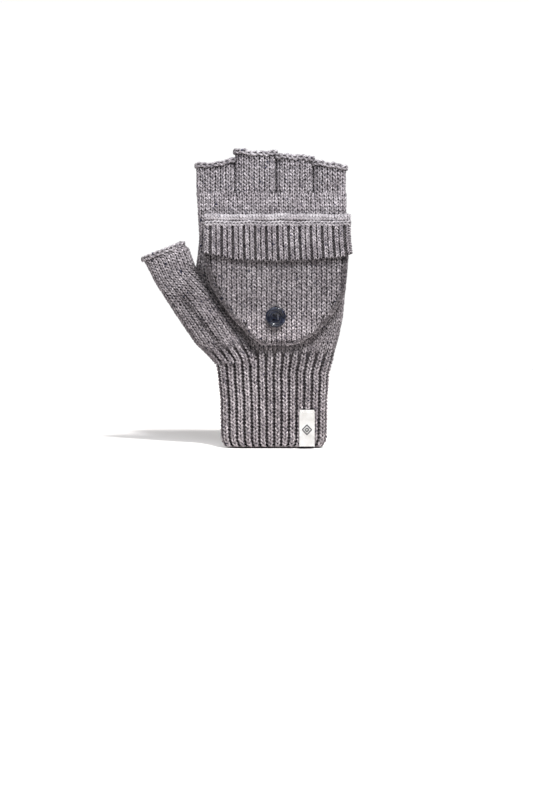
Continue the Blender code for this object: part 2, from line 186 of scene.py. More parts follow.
class Fabric:
    """A surface that a piece is knitted on: rows of points, each row open or closed into a ring."""

    def __init__(self, rows, ring=True):
        self.points = np.asarray(rows, float)
        self.ring = ring
        if ring:
            along = np.roll(self.points, -1, 1) - np.roll(self.points, 1, 1)
        else:
            along = np.gradient(self.points, axis=1)
        self.normals = unit(np.cross(along, np.gradient(self.points, axis=0)))

    def look_up(self, grid, across, up):
        rows, columns = grid.shape[:2]
        down = np.clip(up, 0, 1) * (rows - 1)
        r0 = np.minimum(down.astype(int), rows - 2)
        rf = (down - r0)[:, None]
        if self.ring:
            side = np.mod(across, 1.0) * columns
            c0 = side.astype(int) % columns
            c1 = (c0 + 1) % columns
        else:
            side = np.clip(across, 0, 1) * (columns - 1)
            c0 = np.minimum(side.astype(int), columns - 2)
            c1 = c0 + 1
        cf = (side - np.floor(side))[:, None] if self.ring else (side - c0)[:, None]
        low = grid[r0, c0] * (1 - cf) + grid[r0, c1] * cf
        high = grid[r0 + 1, c0] * (1 - cf) + grid[r0 + 1, c1] * cf
        return low * (1 - rf) + high * rf

    def at(self, across, up):
        return self.look_up(self.points, across, up), unit(self.look_up(self.normals, across, up))


class Wobble:
    """Slow, seeded unevenness of hand-made fabric, from -1 to 1."""

    def __init__(self):
        self.waves = [(rng.uniform(0.25, 1.3), rng.uniform(0.3, 1.5), rng.uniform(0, TURN))
                      for _ in range(5)]

    def __call__(self, u, v):
        return sum(np.sin(a * u + b * v + c) for a, b, c in self.waves) / 5


# ---------------------------------------------------------------- meshes

class YarnMesh:
    """Collects tubes of yarn and makes one mesh of them."""

    def __init__(self, sides=5, twist=1.5):
        self.sides = sides
        self.twist = twist
        self.vertices, self.yarn, self.heights, self.quads, self.caps = [], [], [], [], []
        self.uv_quads, self.uv_caps = [], []
        self.count = 0
        self.length = float(rng.uniform(0, 50))
        self.bands = 0

    def add(self, line, normal, radius, closed=False, lift=0.0):
        """One tube along a line. normal points out of the fabric, and lift is how far out the line is."""
        n = len(line)
        if n < 3:
            return
        tangent = unit((np.roll(line, -1, 0) - np.roll(line, 1, 0)) if closed else np.gradient(line, axis=0))
        side = unit(np.cross(tangent, normal))
        out = np.cross(side, tangent)
        angle = np.arange(self.sides) * TURN / self.sides
        radius = np.broadcast_to(radius, (n,))[:, None, None]
        ring = out[:, None] * np.cos(angle)[None, :, None] + side[:, None] * np.sin(angle)[None, :, None]
        self.vertices.append((line[:, None] + radius * ring).reshape(-1, 3))
        lift = np.broadcast_to(lift, (n,))[:, None]
        # The height attribute drives painted shade: the lower a point of the yarn lies, the darker the wool
        # draws it.
        self.heights.append((lift + radius[:, 0] * np.cos(angle)[None]).ravel())
        along = self.length + travelled(line)
        self.length = along[-1]
        phase = angle[None] + self.twist * along[:, None]
        self.yarn.append(points_at(along[:, None], np.cos(phase), np.sin(phase)).reshape(-1, 3))
        rows = n if closed else n - 1
        i = np.arange(rows)[:, None]
        k = np.arange(self.sides)[None]
        a = i * self.sides + k
        b = i * self.sides + (k + 1) % self.sides
        c = ((i + 1) % n) * self.sides + (k + 1) % self.sides
        d = ((i + 1) % n) * self.sides + k
        self.quads.append((np.stack([a, b, c, d], -1) + self.count).reshape(-1, 4))
        u0, u1 = i / rows + 0 * k, (i + 1) / rows + 0 * k
        v0, v1 = (self.bands + step / self.sides * 0.9 + 0 * i for step in (k, k + 1))
        self.uv_quads.append(np.stack([u0, v0, u0, v1, u1, v1, u1, v0], -1).reshape(-1, 8))
        if not closed:
            first = np.arange(self.sides)[::-1]
            last = (n - 1) * self.sides + np.arange(self.sides)
            self.caps.extend([first + self.count, last + self.count])
            spot = np.tile([0.5, self.bands + 0.95], self.sides)
            self.uv_caps.extend([spot, spot])
        self.bands += 1
        self.count += n * self.sides

    def build(self, name, material):
        vertices = np.concatenate(self.vertices) * MM
        quads = np.concatenate(self.quads)
        caps = np.array(self.caps, int).reshape(-1, self.sides)
        mesh = bpy.data.meshes.new(name)
        mesh.vertices.add(len(vertices))
        mesh.vertices.foreach_set("co", vertices.astype(np.float32).ravel())
        corners = np.concatenate([quads.ravel(), caps.ravel()])
        mesh.loops.add(len(corners))
        mesh.loops.foreach_set("vertex_index", corners.astype(np.int32))
        starts = np.concatenate([np.arange(len(quads)) * 4, quads.size + np.arange(len(caps)) * self.sides])
        mesh.polygons.add(len(starts))
        mesh.polygons.foreach_set("loop_start", starts.astype(np.int32))
        mesh.update(calc_edges=True)
        uv = np.concatenate([np.concatenate(self.uv_quads).ravel()] + [np.ravel(c) for c in self.uv_caps])
        uv = uv.reshape(-1, 2)
        uv[:, 1] /= max(self.bands, 1)
        layer = mesh.uv_layers.new(name="OFBake")
        layer.uv.foreach_set("vector", uv.astype(np.float32).ravel())
        yarn = mesh.attributes.new("yarn", "FLOAT_VECTOR", "POINT")
        yarn.data.foreach_set("vector", np.concatenate(self.yarn).astype(np.float32).ravel())
        height = mesh.attributes.new("height", "FLOAT", "POINT")
        height.data.foreach_set("value", np.concatenate(self.heights).astype(np.float32))
        mesh.shade_smooth()
        return place(name, mesh, material)


def place(name, mesh, material):
    obj = bpy.data.objects.new(name, mesh)
    bpy.context.scene.collection.objects.link(obj)
    mesh.materials.append(material)
    return obj


def stitches(wales, samples, ring, row, wobble, depth, face_down, rib, repeat, fade=1.0):
    """One course of looped yarn: across in wales, up in courses, outwards in mm, thickness share and lift.

    lift is how far a point stands out from the fabric next to it, with the raised ribs counted as level; it
    drives the painted recess shade.
    rib is the relief of the ribbing, whose knit stitches and one purl stitch take up repeat wales.
    """
    t = np.arange(wales * samples) * TURN / samples + (0 if ring else math.pi)
    u = t / TURN + 0.239 * np.sin(2 * t) - 0.045 * np.sin(t)
    v = (-0.889 if face_down else 0.889) * np.cos(t)
    out = -depth * np.cos(2 * t)
    legs = 1 - 0.16 * np.cos(2 * t)
    raised = 0.0
    if rib:
        middle = (repeat - 2) / 2
        wave = np.cos(TURN * (u - middle) / repeat)
        face = wave if repeat == 2 else 1.8 * wave + 0.9
        side = np.clip(2.5 * face, -1, 1)
        raised = rib * fade * np.clip(face, -1, 1)
        out = out * (fade * side + 1 - fade) + raised
        u = u + fade * (0.23 if repeat == 2 else 0.21) * np.sin(TURN * (u - middle) / repeat)
    each = np.clip(np.round(t / TURN).astype(int), 0, wales) % wales
    jitter = rng.normal(size=(4, wales))[:, each]
    u = u + 0.05 * wobble(u * 2.1, row * 1.7) + 0.02 * jitter[0]
    v = v + 0.10 * wobble(u * 1.3 + 9, row * 1.1) + 0.05 * jitter[1]
    out = out + 0.12 * wobble(u * 1.7 + 4, row * 2.3) + 0.05 * jitter[2]
    thick = legs * (1 + 0.06 * wobble(u * 0.9, row * 3.1) + 0.05 * jitter[3])
    return (u if ring else u - 0.5), v, out, thick, out - 0.8 * np.maximum(raised, 0)


def lay(out, line, normal, thick, lift, kept, whole):
    """Adds the kept stretches of one course to the mesh."""
    if kept.all():
        out.add(line, normal, thick, whole, lift)
        return
    if not kept.any():
        return
    if whole:
        shift = int(np.argmin(kept))
        line, normal, thick, lift, kept = (np.roll(x, -shift, 0) for x in (line, normal, thick, lift, kept))
    edges = np.flatnonzero(np.diff(np.concatenate([[0], kept.astype(int), [0]])))
    for first, last in zip(edges[::2], edges[1::2]):
        out.add(line[first:last], normal[first:last], thick[first:last], False, lift[first:last])


def knit(out, fabric, levels, wales, keep=None, rib=0.0, repeat=2, radius=YARN, depth=DEPTH, samples=10,
         face_down=False, wobble=None, fade=None, shade=None):
    """Adds a course of looped yarn at each level, which is a share of the fabric's rows.

    shade gives how many millimetres deeper in painted shadow the yarn is drawn at some points.
    """
    step = levels[1] - levels[0]
    wobble = wobble or Wobble()
    for row, level in enumerate(levels):
        strength = 1.0 if fade is None else fade(level)
        u, v, out_by, thick, lift = stitches(
            wales, samples, fabric.ring, row, wobble, depth, face_down, rib, repeat, strength)
        points, normal = fabric.at(u / wales, level + v * step)
        line = points + normal * out_by[:, None]
        kept = np.ones(len(line), bool) if keep is None else keep(line)
        lift = lift if shade is None else lift - shade(line)
        lay(out, line, normal, thick * radius, lift, kept, fabric.ring)


def cord_fabric(path, radius, closed):
    """The surface of a cord along a path, and how many of its rows come before the path's start."""
    path = np.asarray(path, float)
    extra = max(3, len(path) // 12) if closed else 0
    if closed:
        path = np.concatenate([path[-extra:], path, path[:extra + 1]])
    tangent = unit(np.gradient(path, axis=0))
    first = unit(np.cross(tangent, [0.03, 0.12, 1.0] if abs(tangent[:, 2]).max() < 0.9 else [0.0, 1.0, 0.0]))
    second = np.cross(tangent, first)
    angle = np.arange(24) * TURN / 24
    radius = np.broadcast_to(radius, (len(path),))[:, None, None]
    ring = first[:, None] * np.cos(angle)[None, :, None] + second[:, None] * np.sin(angle)[None, :, None]
    return Fabric(path[:, None] + radius * ring), extra


def knit_cord(name, path, radius, links, wales, yarn_radius, material, closed=False, depth=0.25):
    """A knitted cord with its stitches lying along it, on a solid core."""
    fabric, extra = cord_fabric(path, radius, closed)
    rows = len(fabric.points) - 1
    levels = spread(links, extra / rows, 1 - extra / rows)
    yarn = YarnMesh(6)
    knit(yarn, fabric, levels, wales, radius=yarn_radius, depth=depth, samples=9)
    piece = yarn.build(name, material)
    core = YarnMesh(8)
    line = np.asarray(path, float)
    across = fabric.points[extra:extra + len(line), 0] - line
    core.add(line, across, np.broadcast_to(radius, (len(line),)) * 0.85, closed=closed)
    inner = core.build(name + "_core", CORE_WOOL)
    return [piece, inner]


def sheet_mesh(name, fabric, half_thickness, material, low=0.0, high=1.0, keep=None, columns=128, rows=60,
               inset=0.0):
    """A thin closed sheet on the fabric between two shares of its height, inset millimetres inside it."""
    ring = fabric.ring
    across = np.linspace(0, 1, columns, endpoint=not ring)
    up = np.linspace(low, high, rows)
    grid_a, grid_u = np.meshgrid(across, up)
    points, normal = fabric.at(grid_a.ravel(), grid_u.ravel())
    outer = points + normal * (half_thickness - inset)
    inner = points - normal * (half_thickness + inset)
    cell = np.ones((rows - 1, columns if ring else columns - 1), bool)
    if keep is not None:
        middle = keep(points).reshape(rows, columns)
        right = np.roll(middle, -1, 1) if ring else middle[:, 1:]
        left = middle if ring else middle[:, :-1]
        cell = left[:-1] & right[:-1] & left[1:] & right[1:]
    size = rows * columns
    width = cell.shape[1]
    faces = []

    def index(r, c):
        return r * columns + c % columns

    def is_open(r, c):
        """Whether a face's neighbour is missing."""
        c = c % width if ring else c
        return not (0 <= r < rows - 1 and 0 <= c < width and cell[r, c])

    for r, c in np.argwhere(cell).tolist():
        a, b, d, e = index(r, c), index(r, c + 1), index(r + 1, c + 1), index(r + 1, c)
        faces.append((a, b, d, e))
        faces.append((e + size, d + size, b + size, a + size))
        sides = ((r, c - 1, a, e), (r, c + 1, d, b), (r - 1, c, b, a), (r + 1, c, e, d))
        for row, column, first, last in sides:
            if is_open(row, column):
                faces.append((first, last, last + size, first + size))
    used, packed = np.unique(np.array(faces), return_inverse=True)
    vertices = np.concatenate([outer, inner])[used] * MM
    mesh = bpy.data.meshes.new(name)
    mesh.from_pydata(vertices.tolist(), [], packed.reshape(-1, 4).tolist())
    mesh.shade_smooth()
    grid = np.stack([np.concatenate([grid_a.ravel() * 0.48, 0.5 + grid_a.ravel() * 0.48]),
                     np.tile((grid_u.ravel() - low) / (high - low), 2)], -1)[used]
    layer = mesh.uv_layers.new(name="OFBake")
    corner = np.zeros(len(mesh.loops), np.int32)
    mesh.loops.foreach_get("vertex_index", corner)
    layer.uv.foreach_set("vector", grid[corner].astype(np.float32).ravel())
    return place(name, mesh, material)


# ---------------------------------------------------------------- materials

def new_material(name):
    material = bpy.data.materials.new(name)
    material.use_nodes = True
    tree = material.node_tree
    return material, tree, tree.nodes["Principled BSDF"]


def add_node(tree, kind, inputs=None, **settings):
    made = tree.nodes.new(kind)
    for key, value in settings.items():
        setattr(made, key, value)
    for key, value in (inputs or {}).items():
        if isinstance(value, bpy.types.NodeSocket):
            tree.links.new(value, made.inputs[key])
        else:
            made.inputs[key].default_value = value
    return made


def ramp(tree, factor, stops):
    made = add_node(tree, "ShaderNodeValToRGB", {"Fac": factor})
    elements = made.color_ramp.elements
    while len(elements) < len(stops):
        elements.new(0.5)
    for element, (position, colour) in zip(elements, stops):
        element.position = position
        element.color = (*colour, 1)
    return made.outputs["Color"]


def mix_colour(tree, factor, a, b, mode="MIX"):
    made = add_node(tree, "ShaderNodeMix", data_type="RGBA", blend_type=mode)
    for socket, value in ((made.inputs["Factor"], factor), (made.inputs[6], a), (made.inputs[7], b)):
        if isinstance(value, bpy.types.NodeSocket):
            tree.links.new(value, socket)
        else:
            socket.default_value = value
    return made.outputs[2]


def noise(tree, vector, scale, detail, **more):
    """The value of a noise texture."""
    inputs = dict(more, Vector=vector, Scale=scale, Detail=detail)
    return add_node(tree, "ShaderNodeTexNoise", inputs).outputs["Fac"]


def wave(tree, vector, scale, distortion, detail, direction):
    """The value of a texture of even bands."""
    inputs = {"Vector": vector, "Scale": scale, "Distortion": distortion, "Detail": detail}
    return add_node(tree, "ShaderNodeTexWave", inputs, bands_direction=direction).outputs["Fac"]


def rescale(tree, value, **ends):
    """The value moved from one span to another, From_Min to From_Max and To_Min to To_Max."""
    inputs = {key.replace("_", " "): end for key, end in ends.items()}
    return add_node(tree, "ShaderNodeMapRange", dict(inputs, Value=value)).outputs[0]


def own_place(tree):
    return add_node(tree, "ShaderNodeTexCoord").outputs["Object"]


def multiply(tree, colour, other, share=1.0):
    return mix_colour(tree, share, colour, other, "MULTIPLY")


def finish_shader(tree, shader, colour, relief, strength, distance):
    """Links the colour, and a bump made from relief."""
    tree.links.new(colour, shader.inputs["Base Color"])
    bump = add_node(tree, "ShaderNodeBump", {"Height": relief, "Strength": strength, "Distance": distance})
    tree.links.new(bump.outputs["Normal"], shader.inputs["Normal"])


def heather_wool(name, dark, mid, light, painted_tones, fleck_share=0.39, deep=0.06):
    """Marled wool: pale and mid-grey fibres with navy flecks that run along the twist of the yarn.

    Painted shade makes the sides and backs of the stitches, where light hardly reaches between the fibres,
    deeper in colour; deep sets how dark it gets.
    painted_tones is painted light and shade by height in millimetres: how light the wool is drawn at each
    height, warmer lower down as painted bounce light.
    """
    material, tree, shader = new_material(name)
    yarn = add_node(tree, "ShaderNodeAttribute", attribute_name="yarn").outputs["Vector"]
    height = add_node(tree, "ShaderNodeAttribute", attribute_name="height").outputs["Fac"]
    place_at = own_place(tree)
    streaks = add_node(tree, "ShaderNodeMapping", {"Vector": yarn, "Scale": (0.42, 0.9, 0.9)})
    fibre = noise(tree, streaks.outputs[0], 1.0, 2.5, Roughness=0.6)
    colour = ramp(tree, fibre, [(fleck_share - 0.05, dark), (fleck_share, mid), (0.50, mid), (0.62, light)])
    fine = add_node(tree, "ShaderNodeMapping", {"Vector": yarn, "Scale": (0.9, 4.2, 4.2)})
    hairs = noise(tree, fine.outputs[0], 1.3, 2.0, Roughness=0.6)
    hair_shade = ramp(tree, hairs, [(0.36, (0.6, 0.59, 0.6)), (0.62, (1.2, 1.2, 1.2))])
    colour = multiply(tree, colour, hair_shade, 0.8)
    cloud = noise(tree, place_at, 90.0, 1.0)
    colour = multiply(tree, colour, ramp(tree, cloud, [(0.35, (0.84, 0.82, 0.83)), (0.65, (1.1, 1.1, 1.1))]))
    neps = rescale(tree, noise(tree, place_at, 360.0, 1.0), From_Min=0.29, From_Max=0.25)
    colour = mix_colour(tree, neps, colour, (*dark, 1))
    # Painted shade in the recesses between and behind the stitches.
    reach = add_node(tree, "ShaderNodeMapRange", {"Value": height, "From Min": -0.75, "From Max": 1.25},
                     interpolation_type="SMOOTHSTEP")
    recess_shade = ramp(tree, reach.outputs[0], [
        (0.0, (deep, deep * 0.88, deep * 0.9)),
        (0.45, (deep + 0.22, deep + 0.205, deep + 0.205)),
        (1.0, (1.46, 1.45, 1.45))])
    colour = multiply(tree, colour, recess_shade)
    # Painted light and shade by height, with a warmer cast lower down.
    level = add_node(tree, "ShaderNodeSeparateXYZ", {"Vector": place_at}).outputs["Z"]
    top = painted_tones[-1][0]
    painted_tone = ramp(tree, rescale(tree, level, From_Min=0.0, From_Max=top * MM), [
        (at / top, (value, value * (0.97 + 0.03 * at / TALL), value * (0.94 + 0.06 * at / TALL)))
        for at, value in painted_tones])
    colour = multiply(tree, colour, painted_tone)
    finish_shader(tree, shader, colour, hairs, 0.55, 0.00035)
    shader.inputs["Roughness"].default_value = 0.92
    shader.inputs["Specular IOR Level"].default_value = 0.15
    shader.inputs["Sheen Weight"].default_value = 0.12
    shader.inputs["Sheen Roughness"].default_value = 0.5
    return material


def shade_sheet_wool(name, colour_low, colour_high):
    """Dull dark wool inside the fabric, seen only between stitches; the near-black kind is painted shade."""
    material, tree, shader = new_material(name)
    fuzz = noise(tree, own_place(tree), 900.0, 3.0)
    colour = ramp(tree, fuzz, [(0.38, colour_low), (0.62, colour_high)])
    finish_shader(tree, shader, colour, fuzz, 0.6, 0.0004)
    shader.inputs["Roughness"].default_value = 0.95
    shader.inputs["Specular IOR Level"].default_value = 0.1
    return material


def button_resin(name):
    """Cast navy resin with faint swirls and fine wear marks."""
    material, tree, shader = new_material(name)
    place_at = own_place(tree)
    swirl = noise(tree, place_at, 260.0, 4.0, Distortion=1.6)
    colour = ramp(tree, swirl, [
        (0.35, (0.003, 0.0035, 0.007)), (0.55, (0.007, 0.009, 0.018)), (0.72, (0.024, 0.028, 0.048))])
    rough = rescale(tree, noise(tree, place_at, 1500.0, 2.0), To_Min=0.13, To_Max=0.26)
    tree.links.new(rough, shader.inputs["Roughness"])
    finish_shader(tree, shader, colour, swirl, 0.12, 0.0002)
    shader.inputs["Specular IOR Level"].default_value = 0.36
    return material


def plied_thread(name, low, high):
    """Sewing thread: two plies twisted round each other."""
    material, tree, shader = new_material(name)
    twist = wave(tree, own_place(tree), 900.0, 2.0, 1.0, "DIAGONAL")
    colour = ramp(tree, twist, [(0.2, low), (0.8, high)])
    finish_shader(tree, shader, colour, twist, 0.5, 0.0001)
    shader.inputs["Roughness"].default_value = 0.55
    shader.inputs["Sheen Weight"].default_value = 0.2
    return material


def label_tape(name):
    """Close white woven tape with slightly dusty edges."""
    material, tree, shader = new_material(name)
    place_at = own_place(tree)
    warp = wave(tree, place_at, 480.0, 0.6, 2.0, "X")
    weft = wave(tree, place_at, 420.0, 0.6, 2.0, "Z")
    weave = add_node(tree, "ShaderNodeMath", {0: warp, 1: weft}, operation="MULTIPLY").outputs[0]
    colour = ramp(tree, weave, [(0.0, (0.38, 0.37, 0.355)), (0.5, (0.60, 0.588, 0.575))])
    dust = noise(tree, place_at, 160.0, 3.0)
    colour = multiply(tree, colour, ramp(tree, dust, [(0.35, (0.86, 0.84, 0.81)), (0.6, (1, 1, 1))]))
    finish_shader(tree, shader, colour, weave, 0.4, 0.00012)
    shader.inputs["Roughness"].default_value = 0.7
    shader.inputs["Sheen Weight"].default_value = 0.25
    return material


# Painted light and shade by height: the wool is drawn lighter at the knuckles and the flap's lower end,
# where the light falls, and darker over the middle of the palm and the flap.
HAND_PAINTED_LIGHT = [(0, 1.06), (15, 1.04), (36, 0.98), (52, 0.90), (62, 0.72), (108, 0.76), (126, 0.92),
              (143, 1.0), (152, 1.12), (166, 0.96), (TALL, 0.96)]
FLAP_PAINTED_LIGHT = [(64, 1.26), (76, 1.2), (88, 0.82), (108, 0.77), (142, 0.85)]
EVEN_TONES = [(0, 1.0), (TALL, 1.0)]
SHADES = ((0.011, 0.012, 0.028), (0.134, 0.123, 0.130), (0.345, 0.322, 0.338))
WOOL = heather_wool("wool_knit", *SHADES, HAND_PAINTED_LIGHT)
FLAP_WOOL = heather_wool("wool_flap", *SHADES, FLAP_PAINTED_LIGHT)
# Paler copies of the same heather wool, with shallower painted recess shade: painted light on the hems, the
# fold roll and the edgings, which catch the light.
HEM_WOOL = heather_wool("wool_hem", (0.03, 0.03, 0.05), (0.185, 0.173, 0.182), (0.36, 0.342, 0.355),
                        EVEN_TONES, 0.37, deep=0.22)
LIT_EDGE_WOOL = heather_wool("wool_edge", (0.06, 0.06, 0.08), (0.265, 0.252, 0.263), (0.37, 0.354, 0.366),
                         EVEN_TONES, 0.38, deep=0.25)
# Near-black painted shade for the sheets inside the fabric and the tubes in the finger slits.
SHADE_SHEET = shade_sheet_wool("wool_lining", (0.008, 0.007, 0.008), (0.035, 0.031, 0.033))
CORE_WOOL = shade_sheet_wool("wool_core", (0.06, 0.056, 0.06), (0.17, 0.162, 0.168))
RESIN = button_resin("button_resin")
DARK_THREAD = plied_thread("dark_thread", (0.012, 0.013, 0.022), (0.06, 0.06, 0.085))
TAPE = label_tape("label_tape")
LABEL_THREAD = plied_thread("label_thread", (0.008, 0.008, 0.01), (0.03, 0.03, 0.034))
PALE_THREAD = plied_thread("pale_thread", (0.42, 0.40, 0.38), (0.75, 0.73, 0.70))


# ---------------------------------------------------------------- hand, cuff and stubs

HAND_TOP = 158.0
FABRIC_TOP = HAND_TOP + 2
HAND_ROWS = 120


def crease_x(height):
    return between(CREASE, height)


def valleys(x, height):
    """How deep a point of the thumb's root is in the crease or the lesser fold, from 0 to about 1."""
    crease = smooth(52, 62, height) * (1 - smooth(112, 118, height))
    crease = crease * np.exp(-((x - crease_x(height)) * 0.27) ** 2)
    fold = smooth(56, 66, height) * (1 - smooth(88, 104, height))
    return crease + 0.9 * fold * np.exp(-((x - between(FOLD, height)) * 0.36) ** 2)


def crease_dip(x, height):
    """Share of its depth that the fabric keeps near the valleys."""
    return 1 - 0.32 * valleys(x, height)


# Painted shade along the thumb's crease and lesser fold.
def valley_shade(points):
    return 0.6 * valleys(points[:, 0], points[:, 2])


def hand_rows():
    rows = []
    for height in np.linspace(0, FABRIC_TOP, HAND_ROWS):
        left, right = between(THUMB_SIDE, height), between(LITTLE_SIDE, height)
        inset = INSET + 0.45 * (1 - smooth(46, 56, height))
        tuck = 2.4 * (1 - smooth(0, 6, height)) ** 2
        half = (right - left) / 2 - inset - tuck
        depth = HAND_HALF_DEPTH - (HAND_HALF_DEPTH - STUB_HALF_DEPTH) * smooth(145, STUB_BASE_HEIGHT, height)
        waist = 0.6 * math.exp(-((height - 50) / 7) ** 2)
        across, deep = section(half, depth - inset - waist - tuck * 0.4)
        across = across + (left + right) / 2
        groove = 0.55 * smooth(149, FABRIC_TOP, height)
        for slit in SLITS:
            deep = deep * (1 - groove * np.exp(-((across - slit) / 1.5) ** 2))
        deep = deep * crease_dip(across, height)
        rows.append(points_at(across, deep, height))
    return rows


HAND = Fabric(hand_rows())


def in_gusset(points, margin):
    """Points of the palm that the thumb gusset takes the place of."""
    height = points[:, 2]
    return (height > 53.5) & (height < 112.5) & (points[:, 0] < crease_x(height) - margin)


def hand_part(name, low, high, wales, node=None, rib=0.0, fade=None, wobble=None):
    """Courses of the hand from one height to another, with a painted-shade sheet inside them."""
    levels = spread(int(round((high - low) / COURSE)), low, high) / FABRIC_TOP
    yarn = YarnMesh(6 if high < 60 else 5)
    knit(yarn, HAND, levels, wales, keep=lambda p: ~in_gusset(p, 0.9), rib=rib, wobble=wobble,
         radius=0.58 if rib > 1 else YARN, depth=DEPTH, fade=fade, shade=valley_shade)
    piece = yarn.build(name + "_knit", WOOL)
    shade_sheet = sheet_mesh(name + "_lining", HAND, SHADE_SHEET_HALF, SHADE_SHEET, low / FABRIC_TOP, high / FABRIC_TOP,
                        keep=lambda p: ~in_gusset(p, 1.5), columns=160, rows=max(6, int((high - low) / 1.2)),
                        inset=1.1 if rib > 1 else SHADE_SHEET_INSET)
    if node:
        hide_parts(node)
    return [piece, shade_sheet]


hand_wobble = Wobble()
GUSSET_TOP = 65.0
PALM_MIDDLE = 104.0
GATHER_HEIGHT = 140.4
GATHER_X = 12.0


def rib_fade(level):
    """Ribbing dies out above the cuff."""
    return float(1 - smooth(53, 63, level * FABRIC_TOP))


cuff = hand_part("cuff_rib", 0.8, CUFF_HEIGHT, CUFF_WALES, "cuff_rib", rib=1.15, wobble=hand_wobble)
palm = hand_part("palm_gusset", CUFF_HEIGHT, GUSSET_TOP, CUFF_WALES, rib=0.9, fade=rib_fade,
                 wobble=hand_wobble)
palm += hand_part("palm_lower", GUSSET_TOP, PALM_MIDDLE, PALM_WALES, "hand_body", wobble=hand_wobble)
palm += hand_part("palm_upper", PALM_MIDDLE, GATHER_HEIGHT, PALM_WALES, wobble=hand_wobble)
knuckles = hand_part("knuckles", GATHER_HEIGHT, HAND_TOP, PALM_WALES, wobble=hand_wobble)


def build_gather():
    """The fabric that turns in under the closed pouch, where the fingers are drawn together."""
    outline = HAND.points[int(GATHER_HEIGHT / FABRIC_TOP * (HAND_ROWS - 1))]
    rows = []
    for share in np.linspace(0.985, 0.8, 8):
        row = outline * share
        row[:, 0] += GATHER_X * (1 - share)
        row[:, 2] = GATHER_HEIGHT - 0.7
        rows.append(row)
    yarn = YarnMesh(5)
    knit(yarn, Fabric(rows), spread(4), PALM_WALES, samples=8)
    piece = yarn.build("knuckle_gather_knit", WOOL)
    return piece


palm.append(build_gather())


def thumb_rows(count=56):
    corners = np.array([(*a, *b, d) for a, b, d in THUMB_ROWS])
    middle = (corners[:, 0:2] + corners[:, 2:4]) / 2
    length = travelled(middle)
    rows = []
    for at in np.linspace(0, length[-1], count):
        ax, az, bx, bz, depth = (np.interp(at, length, corners[:, k]) for k in range(5))
        outer, inner = np.array([ax, az]), np.array([bx, bz])
        half = np.linalg.norm(inner - outer) / 2 - INSET
        direction = unit(inner - outer)
        across, deep = section(half, depth - INSET, power=2.6)
        spot = ((outer + inner) / 2)[None] + across[:, None] * direction[None]
        deep = deep * crease_dip(spot[:, 0], spot[:, 1])
        rows.append(points_at(spot[:, 0], deep, spot[:, 1]))
    return rows, length[-1]


thumb_points, THUMB_LENGTH = thumb_rows()
THUMB = Fabric(thumb_points)


def on_thumb(points, margin):
    """Points of the thumb tube outside the palm."""
    x, height = points[:, 0], points[:, 2]
    beyond = (x < crease_x(height) + margin) | (height > 112.0)
    return beyond & (height > 51.5) & (x < between(THUMB_SIDE, height) + np.where(height > 112.0, 2.0, 60.0))


def build_thumb():
    yarn = YarnMesh(6)
    for low, high, wales, rib in ((0.0, 0.26, 34, 0.9), (0.26, 0.6, 28, 0.0), (0.6, 1.0, THUMB_WALES, 0.0)):
        count = int(round(THUMB_LENGTH * (high - low) / COURSE))
        knit(yarn, THUMB, spread(count, low, high), wales, keep=lambda p: on_thumb(p, 0.9), rib=rib,
             fade=lambda level: float(1 - smooth(0.10, 0.24, level)), shade=valley_shade)
    piece = yarn.build("thumb_knit", WOOL)
    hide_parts("thumb_tube")
    shade_sheet = sheet_mesh("thumb_lining", THUMB, SHADE_SHEET_HALF, SHADE_SHEET, keep=lambda p: on_thumb(p, 2.0),
                        columns=90, rows=60, inset=SHADE_SHEET_INSET)
    return [piece, shade_sheet]


thumb = build_thumb()


def stub_top(stub, x):
    """Height of the hem's top over the finger opening."""
    _, left, right, at_left, at_middle, at_right = stub
    return np.interp(x, [left, (left + right) / 2, right], [at_left, at_middle, at_right])


def build_stub(stub):
    name, left, right = stub[0], stub[1], stub[2]
    visible_left = left if name == "index" else left - 1.15
    visible_right = right if name == "little" else right + 1.15
    half = (visible_right - visible_left) / 2 - INSET
    across, deep = section(half, STUB_HALF_DEPTH - INSET, power=2.8)
    across = across + (visible_left + visible_right) / 2
    top = stub_top(stub, across) - HEM_RADIUS - 1.3
    hand_across, hand_deep = section((45.5 + 48.6) / 2 - INSET, STUB_HALF_DEPTH - INSET)
    front = hand_deep < 0
    palm_depth = np.interp(across, hand_across[front] - 1.55, -hand_deep[front])
    flush = np.sign(deep) * np.minimum(np.abs(deep), palm_depth)
    rows = []
    for share in np.linspace(0, 1, 24):
        own = smooth(0, 0.8, share)
        base = HAND_TOP - 0.8
        rows.append(points_at(across, flush + (deep - flush) * own, base + (top - base) * share))
    tube = Fabric(rows)
    around = np.linalg.norm(np.roll(rows[0], -1, 0) - rows[0], axis=1).sum()
    wales = int(round(around / WALE))
    count = int(round((np.mean(top) - HAND_TOP) / COURSE))
    yarn = YarnMesh(6)
    knit(yarn, tube, spread(count), wales)
    piece = yarn.build(name + "_stub_knit", WOOL)
    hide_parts(name + "_stub")
    shade_sheet = sheet_mesh(name + "_stub_lining", tube, SHADE_SHEET_HALF, SHADE_SHEET, columns=72, rows=12,
                        inset=SHADE_SHEET_INSET)
    rim_across, rim_deep = section(half + 0.5, STUB_HALF_DEPTH - INSET + 0.5, power=3.0, columns=120)
    rim_across = rim_across + (visible_left + visible_right) / 2
    droop = 0.35 * np.sin(rim_across * 0.7 + left) + 0.3 * np.sin(rim_across * 1.9 + right)
    rim = points_at(rim_across, rim_deep, stub_top(stub, rim_across) - HEM_RADIUS + 0.1 + droop)
    return [piece, shade_sheet] + build_hem(name + "_hem", rim, wales)


def build_hem(name, rim, wales):
    """The cast-off edge of an opening: a chain of stitches that rolls outwards over the top course."""
    made = knit_cord(name + "_chain", rim, 1.2, wales, 2, 0.66, HEM_WOOL, closed=True,
                     depth=0.36)
    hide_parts(name)
    return made


stubs = [piece for stub in STUBS for piece in build_stub(stub)]


